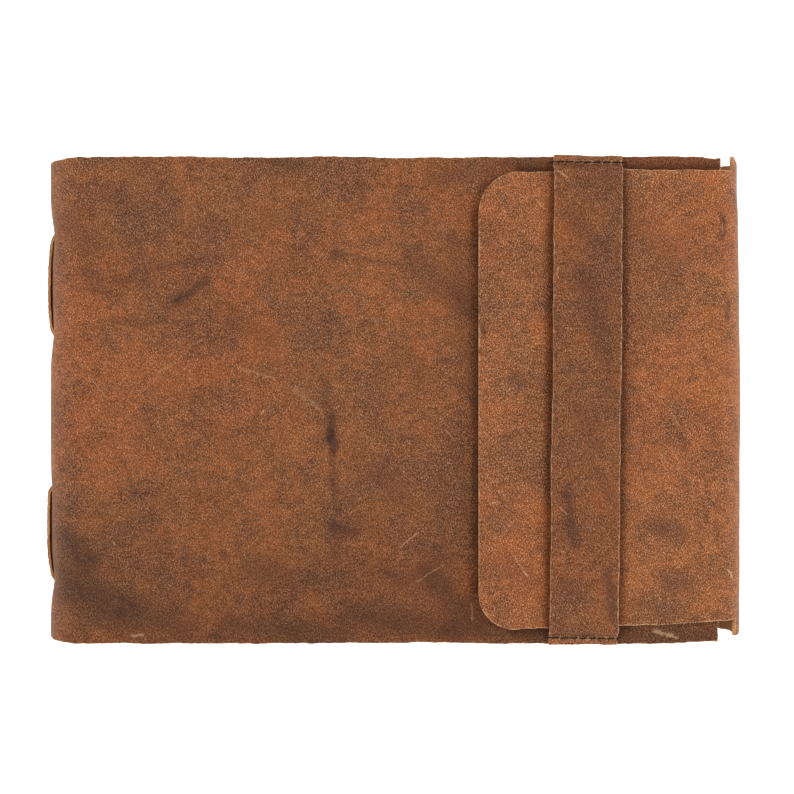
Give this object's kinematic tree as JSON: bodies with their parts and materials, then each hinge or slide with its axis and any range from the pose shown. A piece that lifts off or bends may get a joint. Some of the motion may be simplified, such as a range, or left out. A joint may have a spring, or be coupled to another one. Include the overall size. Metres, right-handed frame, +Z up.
{
  "type": "leather notebook cover",
  "caption": "Wrap-around leather notebook cover: a fold-over flap tucks under a sewn strap, and leather thongs through the spine hold sewn sections of paper.",
  "frame": {"origin": "middle of the underside, as the notebook lies on its back cover", "axes": "+X towards the fore-edge and its folded flap, -X to the spine, +Y to the head of the pages, +Z up through the front cover"},
  "size_m": [0.2572, 0.1778, 0.033],
  "materials": {
    "cover_leather": "distressed brown pull-up leather, waxed matte to satin, pale cut edges",
    "flap_leather": "the same hide, a little lighter and warmer",
    "strap_leather": "the same hide, a little greyer",
    "thong_leather": "matte, with fuzzy tan edges",
    "dark_thread": "waxed dark brown thread",
    "linen_thread": "natural linen thread",
    "paper": "uncoated cream drawing paper"
  },
  "bodies": {
    "back_cover": {"back_panel": "cover_leather", "page_section_01": "paper", "page_section_02": "paper", "page_section_03": "paper"},
    "back_section_outer": {"page_section_04": "paper"},
    "back_section_inner": {"page_section_05": "paper"},
    "spine": {"spine_panel": "cover_leather", "binding_thong_head": "thong_leather", "binding_thong_tail": "thong_leather", "binding_thread_head": "linen_thread", "binding_thread_tail": "linen_thread"},
    "front_cover": {"front_panel": "cover_leather", "closure_strap": "strap_leather", "strap_stitches_head": "dark_thread", "strap_stitches_tail": "dark_thread", "page_section_08": "paper", "page_section_09": "paper", "page_section_10": "paper"},
    "front_section_inner": {"page_section_06": "paper"},
    "front_section_outer": {"page_section_07": "paper"},
    "fore_edge": {"fore_edge_wall": "cover_leather"},
    "flap": {"closure_flap": "flap_leather"}
  },
  "joints": [
    {"name": "spine_fold", "type": "hinge", "parent": "back_cover", "child": "spine", "pos_m": [-0.12498, 0, 0.00601], "axis": [0, -1, 0], "range_deg": [0, 90]},
    {"name": "front_cover_fold", "type": "hinge", "parent": "spine", "child": "front_cover", "pos_m": [-0.12498, 0, 0.02284], "axis": [0, -1, 0], "range_deg": [0, 90]},
    {"name": "back_section_inner_slide", "type": "slide", "parent": "back_cover", "child": "back_section_inner", "axis": [-1, 0, 0], "range_m": [0, 0.0091]},
    {"name": "back_section_outer_slide", "type": "slide", "parent": "back_cover", "child": "back_section_outer", "axis": [-1, 0, 0], "range_m": [0, 0.0055]},
    {"name": "front_section_inner_slide", "type": "slide", "parent": "front_cover", "child": "front_section_inner", "axis": [-1, 0, 0], "range_m": [0, 0.0091]},
    {"name": "front_section_outer_slide", "type": "slide", "parent": "front_cover", "child": "front_section_outer", "axis": [-1, 0, 0], "range_m": [0, 0.0055]},
    {"name": "fore_edge_fold", "type": "hinge", "parent": "back_cover", "child": "fore_edge", "pos_m": [0.1279, 0, 0.00993], "axis": [0, 1, 0], "range_deg": [0, 90]},
    {"name": "flap_fold", "type": "hinge", "parent": "fore_edge", "child": "flap", "pos_m": [0.1279, 0, 0.02102], "axis": [0, 1, 0], "range_deg": [0, 90], "deforming": ["closure_flap"]}
  ],
  "couplings": [
    {"joint": "front_cover_fold", "follows": "spine_fold", "ratio": 1},
    {"joint": "back_section_inner_slide", "follows": "spine_fold", "m_per_rad": 0.0057932},
    {"joint": "back_section_outer_slide", "follows": "spine_fold", "m_per_rad": 0.0035014},
    {"joint": "front_section_inner_slide", "follows": "spine_fold", "m_per_rad": 0.0057932},
    {"joint": "front_section_outer_slide", "follows": "spine_fold", "m_per_rad": 0.0035014}
  ]
}
